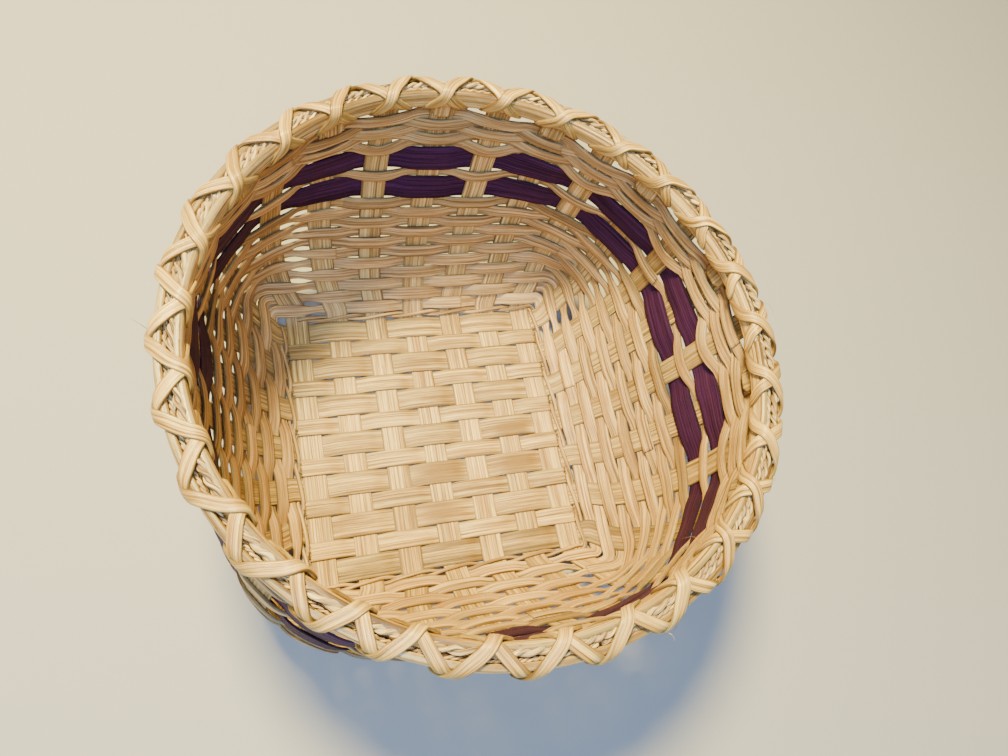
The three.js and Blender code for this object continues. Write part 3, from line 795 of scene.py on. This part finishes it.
def hoop(band):
    # once round and on past its own start; where the ends lap, each is shaved down in a straight line,
    # the first kept on the side by the wall and the last on the far side
    begin = band["lap"]
    place = np.linspace(begin, begin + stakeCount + rim["lapReach"], rim["stations"] * stakeCount)
    entering = np.clip((place - begin) / rim["lapReach"], 0, 1)
    ending = np.clip((place - begin - stakeCount) / rim["lapReach"], 0, 1)
    full = band["thickness"]
    direction = band["direction"]
    shaved = rim["shaved"]
    thickness = full * np.minimum(1 - shaved + shaved * entering, 1 - shaved * ending)
    depth = np.where(place < begin + stakeCount / 2, thickness / 2, full - thickness / 2)
    depth = depth + sway(place, *rim["depthStray"])
    sunk = band["sunk"] * (0.5 + 0.5 * np.cos(2 * np.pi * (place - rim["sunkMost"]) / stakeCount))
    middle = rim["bottom"] + band["height"] / 2 - sunk + sway(place, *rim["riseStray"])
    points, up, outward = rimPoint(place, middle, band["face"] + direction * depth)
    roll = sway(place, *rim["rollStray"])[:, None]
    wide = -direction * (up * np.cos(roll) + outward * np.sin(roll))
    height = band["height"] * (1 + sway(place, *rim["heightStray"]))
    tone = pieceTone(rim["toneSpread"])
    return stripShell(points, wide, height, thickness, tone, crown=(band["crown"], 0.0),
                      corner=rim["cornerRadius"], section=rim["section"])


makeMesh("inner_rim_reed", [hoop(rim["inner"])], "inner_rim", reeds["rimReed"])
makeMesh("outer_rim_reed", [hoop(rim["outer"])], "outer_rim", reeds["rimReed"])

# cords: the two trade places as the thicker one, where sizes are shares of full size; the thick one
# rides up over the edge of its band and the thin one sinks between them
cord = {
    "offset": 0.66,  # from the cord's middle to a strand's
    "radius": 0.86,  # of a strand
    "turn": 9.6,  # length of a full twist
    "samples": 2400,
    "sides": 22,
    "rise": 2.3,
    "innerThickest": 21.0,
    "thick": 0.8,  # size above which a cord rides up and below which it sinks
    "buttGap": 0.03,  # from the butt to each end, in stakes
    "inner": {"side": -1, "face": rim["inner"]["face"], "butt": 5.5, "size": 1.0, "swing": 0.3,
              "over": 2.6, "up": 1.5, "sink": 0.0},
    "outer": {"side": 1, "face": rim["outer"]["face"], "butt": 16.5, "size": 0.88, "swing": 0.32,
              "over": 5.4, "up": 2.0, "sink": 6.0},
    "sizeStray": (2.5, 0.1),
    "riseStray": (3.5, 0.2),
    "outStray": (3.0, 0.15),
    "twistStray": (2.4, 1.2),
    # the fibres' grain slants round the cord, and its edge value paints shade into the groove between the
    # strands
    "grainAlong": 0.6,
    "grainRound": 1.5,
    "grainSlant": 0.35,
    "grooveShadeFrom": 0.55,
    "grooveShadeDepth": 0.5,
    "grooveShadePower": 0.6,
    "tone": 0.5,
}


def twistedCord(strand):
    # two round strands side by side, turning round each other as the cord goes along:
    # the section is the outline of two overlapping circles, turned by the distance travelled
    begin = strand["butt"] + cord["buttGap"]
    place = np.linspace(begin, strand["butt"] + stakeCount - cord["buttGap"], cord["samples"])
    swing = strand["side"] * strand["swing"]
    size = strand["size"] - swing * np.cos(2 * np.pi * (place - cord["innerThickest"]) / stakeCount)
    size = size * (1 + sway(place, *cord["sizeStray"]))
    offset = cord["offset"]
    radius = cord["radius"]
    bulky = np.maximum(size - cord["thick"], 0)
    slim = np.maximum(cord["thick"] - size, 0)
    lift = cord["rise"] + strand["up"] * bulky - strand["sink"] * slim
    rise = lift + sway(place, *cord["riseStray"])
    aside = size * (offset + radius) - strand["over"] * bulky
    out = strand["face"] - strand["side"] * aside + sway(place, *cord["outStray"])
    points, up, outward = rimPoint(place, rise, out)
    travel = travelled(points)
    twist = np.append(0, np.cumsum(2 * np.pi * np.diff(travel) / cord["turn"] / size[1:]))
    twist = twist + sway(place, *cord["twistStray"])
    angle = np.linspace(0, 2 * np.pi, cord["sides"], endpoint=False)
    reach = offset * np.abs(np.cos(angle)) + np.sqrt(radius ** 2 - (offset * np.sin(angle)) ** 2)
    turned = angle + twist[:, None]
    across = size[:, None] * reach * np.cos(turned)
    through = size[:, None] * reach * np.sin(turned)
    grid = points[:, None] + across[..., None] * up[:, None] + through[..., None] * outward[:, None]
    along = travel[:, None] * cord["grainAlong"]
    slanted = angle * cord["grainRound"] + travel[:, None] * cord["grainSlant"]
    # painted shade: the edge value grows towards the groove where the two strands meet, and the finish
    # darkens it there
    groove = cord["grooveShadeFrom"] + cord["grooveShadeDepth"] * (1 - np.abs(np.cos(angle)) ** cord["grooveShadePower"])
    return grid, np.stack(np.broadcast_arrays(along, slanted, groove), -1), cord["tone"]


for side in ("inner", "outer"):
    name = f"rim_cord_{side}"
    makeMesh(name + "_fibre", [twistedCord(cord[side])], name, reeds["cordFibre"])

# lashing: two strips wound round the rim in opposite directions
lash = {
    "width": 5.5,
    "thickness": 1.1,
    "crown": (0.4, 0.05),
    "ridges": (0.07, 1.25),  # depth and spacing
    "corner": 0.45,
    "section": reedSection(11, 3),
    "samples": 60,  # to a turn
    "bendSpread": 1.6,  # in samples
    "slopeSpread": 1.5,
    "stakeSpacing": 29.2,
    "holeBelow": 0.8,  # from the bands' lower edge
    "overLift": 1.2,
    "crossReach": (0.15, 0.12),  # inside a stake and outside a gap, in stakes
    "centre": (-0.4, -0.2),  # of a turn, out and up
    # how far the crossings stray along the rim, at some places round it
    "strayPlaces": (0.0, 4.5, 6.0, 12.0, 14.0, 19.0, 20.4, 23.0, 26.0),
    "stray": (-0.06, -0.04, 0.18, 0.19, 0.04, -0.04, -0.36, -0.2, -0.27),
    "strayAtHole": 0.4,  # share of it that is left at the holes
    "strayRise": 4,  # height over which it grows to the whole
    # near one place the strips cross later, on top of the rim: by how much, where, spread
    "late": (0.13, 11.0, 3.5),
    "nudge": 0.03,  # most that a strip strays at random along the rim, in stakes
    "squeeze": 0.3,  # share of the width lost in a hole
    "squeezeRise": 1.2,
    "toneSpread": 0.4,
    "liftStray": (1.7, 0.08),  # period in turns and amount
    "widthStray": (2.2, 0.08),
}
# one turn, as out of the wall, up from its top, and place from a stake's middle: in through a hole
# beside the stake, up inside past it, over the cords and down outside to the hole by the next stake
below = rim["bottom"] - lash["holeBelow"]
lashTurn = np.array([
    [-0.4, below, -0.35], [-3.4, below, -0.345], [-5.5, below + 1.0, -0.3], [-6.55, -1.6, -0.17],
    [-6.6, 1.1, -0.06], [-6.1, 3.3, -0.005], [-4.5, 4.6, 0.05], [-1.6, 4.95, 0.15], [1.5, 4.85, 0.26],
    [3.9, 4.3, 0.35], [5.4, 2.9, 0.42], [6.0, 0.7, 0.49], [5.9, -1.9, 0.56], [5.2, below + 1.0, 0.62],
    [3.3, below, 0.65], [-0.4, below, 0.65]])


def lashing(direction, over):
    # one strip wound round the rim: the turn's corners at every stake, smoothed; its mirror image crosses
    # it inside every stake and outside every gap, where a bell lifts the upper one off the rim
    stretch = np.linalg.norm(np.diff(lashTurn * (1, 1, lash["stakeSpacing"]), axis=0), axis=1)
    corners = np.append(0, np.cumsum(stretch)) / stretch.sum()
    turns = (np.arange(stakeCount)[:, None] + np.linspace(0, 1, lash["samples"], endpoint=False)).ravel()
    out, rise, advance = (np.interp(turns % 1.0, corners, column) for column in lashTurn.T)
    path = np.stack([out, rise, np.floor(turns) + advance], -1)
    out, rise, step = smoothed(path, 1.0, lash["bendSpread"]).T
    lateBy, latePlace, lateSpread = lash["late"]
    late = lateBy * np.exp(-(((direction * step % stakeCount - latePlace) / lateSpread) ** 2))
    advance = advance - late
    step = step - late

    slope = np.stack([np.gradient(rise), -np.gradient(out)], -1)
    slope = unit(smoothed(slope, 1.0, lash["slopeSpread"]))
    outwards = (out - lash["centre"][0]) * slope[:, 0] + (rise - lash["centre"][1]) * slope[:, 1]
    slope = slope * np.sign(outwards)[:, None]
    inside, outside = lash["crossReach"]
    crossing = np.exp(-((advance / inside) ** 2)) + np.exp(-(((advance - 0.5) / outside) ** 2))
    lift = lash["overLift"] * crossing * (1 if over else 0) + sway(turns, *lash["liftStray"])
    out = out + slope[:, 0] * lift
    rise = rise + slope[:, 1] * lift

    # two draws to a turn are read; the rest only keep the draws that follow as they are
    nudge = dice.uniform(-lash["nudge"], lash["nudge"], 3 * stakeCount)
    place = direction * (step + np.interp(turns * 2, np.arange(3 * stakeCount), nudge))
    stray = np.interp(place % stakeCount, lash["strayPlaces"], lash["stray"], period=stakeCount)
    grown = np.clip((rise - below) / lash["strayRise"], 0, 1)
    place = place + stray * (lash["strayAtHole"] + (1 - lash["strayAtHole"]) * grown)
    points, up, outward = rimPoint(place % stakeCount, rise, out)
    normal = outward * slope[:, :1] + up * slope[:, 1:]
    wide = unit(np.cross(normal, unit(np.gradient(points, axis=0))))
    squeezed = np.clip((below + lash["squeezeRise"] - rise) / lash["squeezeRise"], 0, 1)
    width = lash["width"] * (1 + sway(turns, *lash["widthStray"])) * (1 - lash["squeeze"] * squeezed)
    tone = pieceTone(lash["toneSpread"])
    return stripShell(points, wide, width, lash["thickness"], tone, crown=lash["crown"],
                      corner=lash["corner"], section=lash["section"], ridges=lash["ridges"])


# loose fibres that spring off the rim and walls: place, length up the wall, distance out of it,
# heading out, up and along the wall, and size
looseFibres = {
    "settings": [(24.4, 148.8, 6.0, (0.9, 0.2, 0.3), 8.0), (9.75, 150.8, 6.0, (0.6, 0.3, 0.8), 7.0),
                 (15.6, 147.8, 6.0, (0.8, 0.1, -0.7), 9.0), (15.3, 146.8, 6.0, (0.9, -0.2, 0.2), 6.0),
                 (21.2, 146.8, 6.0, (0.7, 0.1, 0.6), 5.0), (12.6, 149.8, 6.0, (0.8, 0.0, 0.5), 4.0),
                 (3.5, 118.0, -1.8, (-0.3, -0.6, 0.7), 9.0), (13.9, 128.0, -2.2, (-0.5, -0.8, -0.4), 12.0),
                 (24.0, 118.0, -1.8, (-0.4, 0.2, -0.9), 8.0)],
    "arch": 0.35,
    "curl": 0.3,
    "root": 0.28,
    "tip": 0.1,
    "tone": 0.9,
    "stations": 12,
    "sides": 6,
}


def hair(place, length, out, heading, size):
    # a tapering rod along its heading, arched up by half a sine and curled aside by the square of the travel
    look = looseFibres
    start, up, side, outward = wallFrame(np.array([place]), np.array([length]))
    start = start + outward * out
    travel = np.linspace(0, 1, look["stations"])[:, None]
    aim = heading[0] * outward + heading[1] * up + heading[2] * side
    arch = up * look["arch"] * np.sin(np.pi * travel)
    points = start + size * (aim * travel + arch + side * look["curl"] * travel ** 2)
    thin = np.linspace(look["root"], look["tip"], look["stations"])
    return stripShell(points, up, thin, thin, look["tone"], corner=fullyRound,
                      section=roundSection(look["sides"]))


hairs = [hair(*settings) for settings in looseFibres["settings"]]
for number, direction, over, extras in ((1, 1, True, hairs), (2, -1, False, [])):
    name = f"rim_lashing_{number}"
    makeMesh(name + "_reed", [lashing(direction, over)] + extras, name, reeds["lashReed"])
print("rim lashed")

# floor and lights, in metres
floorLook = {"reach": 4.0, "colour": (0.415, 0.39, 0.385, 1), "roughness": 0.75}
lights = {
    "keyLight": {"location": (-0.28, 0.43, 1.2), "aim": (0.0, 0.0, 0.05), "size": 0.3, "power": 67.0,
                 "colour": (1.0, 0.84, 0.31)},
    "fillLight": {"location": (-0.28, -0.54, 1.12), "aim": (0.0, 0.05, 0.05), "size": 0.7, "power": 19.0,
                  "colour": (0.47, 0.68, 1.0)},
}
surround = {"colour": (0.5, 0.7, 1.0, 1), "strength": 0.21}


def makeStage():
    # a square floor, level with the bottom of the basket
    reach = floorLook["reach"]
    corners = [(-reach, -reach, 0), (reach, -reach, 0), (reach, reach, 0), (-reach, reach, 0)]
    mesh = bpy.data.meshes.new("floor")
    mesh.from_pydata(corners, [], [(0, 1, 2, 3)])
    floor = bpy.data.objects.new("floor", mesh)
    bpy.context.scene.collection.objects.link(floor)
    material = bpy.data.materials.new("paleFloor")
    material.use_nodes = True
    shader = material.node_tree.nodes["Principled BSDF"]
    shader.inputs["Base Color"].default_value = floorLook["colour"]
    shader.inputs["Roughness"].default_value = floorLook["roughness"]
    mesh.materials.append(material)


def softLight(name, light):
    # a round lamp at its location, its back turned away from what it is aimed at
    data = bpy.data.lights.new(name, "AREA")
    data.shape = "DISK"
    data.size = light["size"]
    data.energy = light["power"]
    data.color = light["colour"]
    lamp = bpy.data.objects.new(name, data)
    bpy.context.scene.collection.objects.link(lamp)
    back = unit(np.array(light["location"]) - np.array(light["aim"]))
    side = unit(np.cross((0.0, 1.0, 0.2), back))
    turned = np.stack([side, np.cross(back, side), back], -1)
    lamp.matrix_world = Matrix.Translation(light["location"]) @ Matrix(turned.tolist()).to_4x4()


makeStage()
for name, light in lights.items():
    softLight(name, light)
world = bpy.data.worlds.new("studio")
bpy.context.scene.world = world
world.use_nodes = True
background = world.node_tree.nodes["Background"]
background.inputs["Color"].default_value = surround["colour"]
background.inputs["Strength"].default_value = surround["strength"]

# camera: its place, and the directions of the picture's right, down and depth
view = {
    "focalPixels": 758.85,
    "imageWidth": 1008,
    "sensorWidth": 36.0,
    "nearest": 0.01,  # in metres
    "farthest": 20,
    "position": (-95.95, -121.48, 417.48),  # in millimetres, from the base centre
    "right": (0.94594165, -0.19046388, 0.26252221),
    "down": (-0.08406025, -0.92572572, -0.36873536),
    "forward": (0.31325433, 0.32673445, -0.89169295),
}
lens = bpy.data.cameras.new("camera")
lens.sensor_width = view["sensorWidth"]
lens.lens = view["focalPixels"] * lens.sensor_width / view["imageWidth"]
lens.clip_start = view["nearest"]
lens.clip_end = view["farthest"]
camera = bpy.data.objects.new("camera", lens)
bpy.context.scene.collection.objects.link(camera)
turned = np.stack([view["right"], -np.array(view["down"]), -np.array(view["forward"])], -1)
position = (np.array(view["position"]) + baseCentre) * mm
camera.matrix_world = Matrix.Translation(position.tolist()) @ Matrix(turned.tolist()).to_4x4()
bpy.context.scene.camera = camera
print("camera set")
